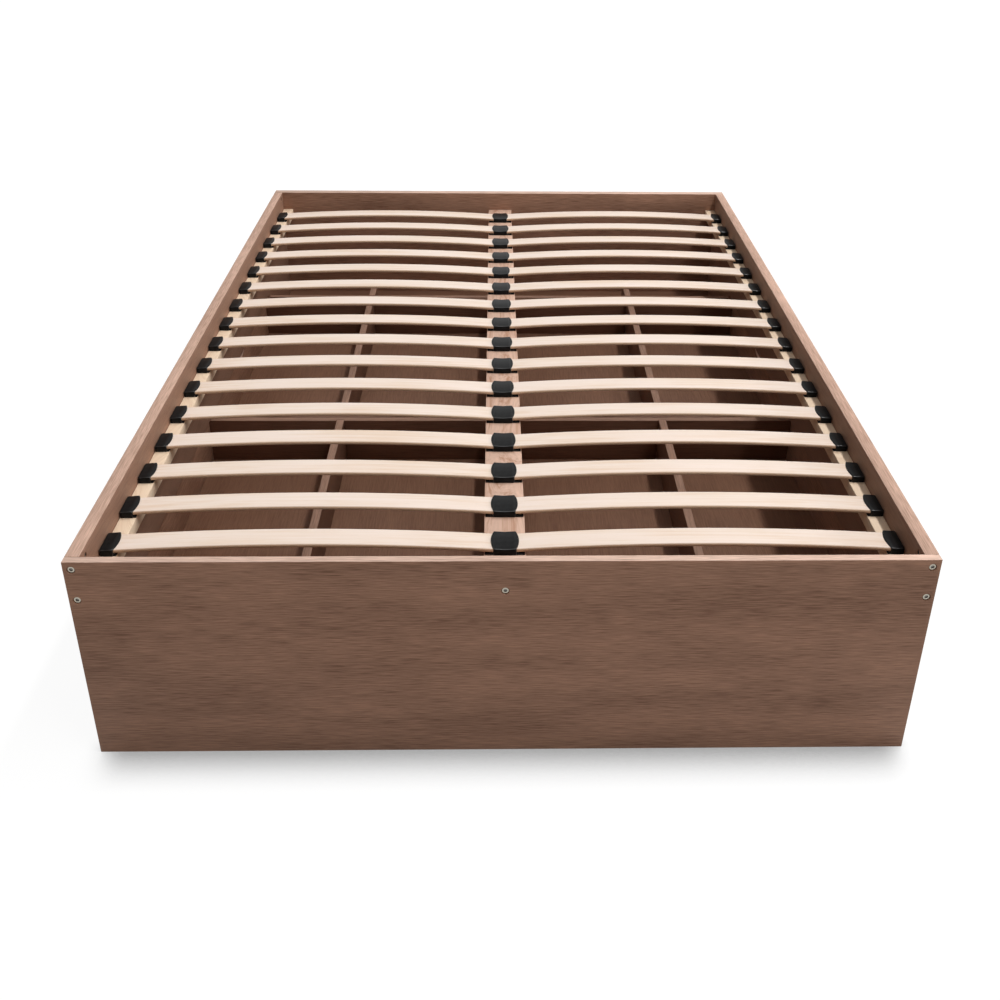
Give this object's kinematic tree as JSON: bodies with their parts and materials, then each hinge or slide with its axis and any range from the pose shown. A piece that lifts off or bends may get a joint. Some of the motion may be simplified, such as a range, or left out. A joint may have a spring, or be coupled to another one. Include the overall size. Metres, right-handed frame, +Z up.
{
  "type": "storage bed base",
  "caption": "Low storage bed base: boards on edge frame bowed sprung slats in moulded caps on bearers and a middle rail, over drawers that roll out sideways on castors.",
  "frame": {"origin": "on the floor, under the middle of the base", "axes": "+X to the right as seen from the foot, +Y from the foot to the head, +Z up"},
  "size_m": [1.46, 2.05, 0.418],
  "materials": {
    "board": "satin wood-effect board with fine horizontal grain",
    "inner_board": "matt brown board",
    "rail_wood": "pale pinkish-brown wood with lengthwise grain",
    "bearer_wood": "pale birch strip",
    "slat_wood": "satin laminated birch",
    "cap_plastic": "satin moulded black nylon",
    "castor_plastic": "moulded black plastic",
    "screw_steel": "zinc-plated steel"
  },
  "bodies": {
    "base": {"foot_panel": "board", "head_panel": "board", "left_side_panel": "board", "right_side_panel": "board", "left_bearer": "bearer_wood", "right_bearer": "bearer_wood", "centre_rail": "rail_wood", "centre_support_panel": "inner_board", "rear_cross_panel": "inner_board", "head_bay_floor": "inner_board", "left_head_bay_brace": "inner_board", "right_head_bay_brace": "inner_board", "slat_left_01": "slat_wood", "slat_left_02": "slat_wood", "slat_left_03": "slat_wood", "slat_left_04": "slat_wood", "slat_left_05": "slat_wood", "slat_left_06": "slat_wood", "slat_left_07": "slat_wood", "slat_left_08": "slat_wood", "slat_left_09": "slat_wood", "slat_left_10": "slat_wood", "slat_left_11": "slat_wood", "slat_left_12": "slat_wood", "slat_left_13": "slat_wood", "slat_left_14": "slat_wood", "slat_left_15": "slat_wood", "slat_left_16": "slat_wood", "slat_right_01": "slat_wood", "slat_right_02": "slat_wood", "slat_right_03": "slat_wood", "slat_right_04": "slat_wood", "slat_right_05": "slat_wood", "slat_right_06": "slat_wood", "slat_right_07": "slat_wood", "slat_right_08": "slat_wood", "slat_right_09": "slat_wood", "slat_right_10": "slat_wood", "slat_right_11": "slat_wood", "slat_right_12": "slat_wood", "slat_right_13": "slat_wood", "slat_right_14": "slat_wood", "slat_right_15": "slat_wood", "slat_right_16": "slat_wood"},
    "left_foot_drawer": {"left_foot_drawer_front": "board", "left_foot_drawer_box": "inner_board", "left_foot_drawer_divider": "inner_board", "left_foot_drawer_bottom": "inner_board"},
    "left_head_drawer": {"left_head_drawer_front": "board", "left_head_drawer_box": "inner_board", "left_head_drawer_divider": "inner_board", "left_head_drawer_bottom": "inner_board"},
    "right_foot_drawer": {"right_foot_drawer_front": "board", "right_foot_drawer_box": "inner_board", "right_foot_drawer_divider": "inner_board", "right_foot_drawer_bottom": "inner_board"},
    "right_head_drawer": {"right_head_drawer_front": "board", "right_head_drawer_box": "inner_board", "right_head_drawer_divider": "inner_board", "right_head_drawer_bottom": "inner_board"}
  },
  "joints": [
    {"name": "left_foot_drawer_slide", "type": "slide", "parent": "base", "child": "left_foot_drawer", "axis": [-1, 0, 0], "range_m": [0, 0.6]},
    {"name": "left_head_drawer_slide", "type": "slide", "parent": "base", "child": "left_head_drawer", "axis": [-1, 0, 0], "range_m": [0, 0.6]},
    {"name": "right_foot_drawer_slide", "type": "slide", "parent": "base", "child": "right_foot_drawer", "axis": [1, 0, 0], "range_m": [0, 0.6]},
    {"name": "right_head_drawer_slide", "type": "slide", "parent": "base", "child": "right_head_drawer", "axis": [1, 0, 0], "range_m": [0, 0.6]}
  ]
}
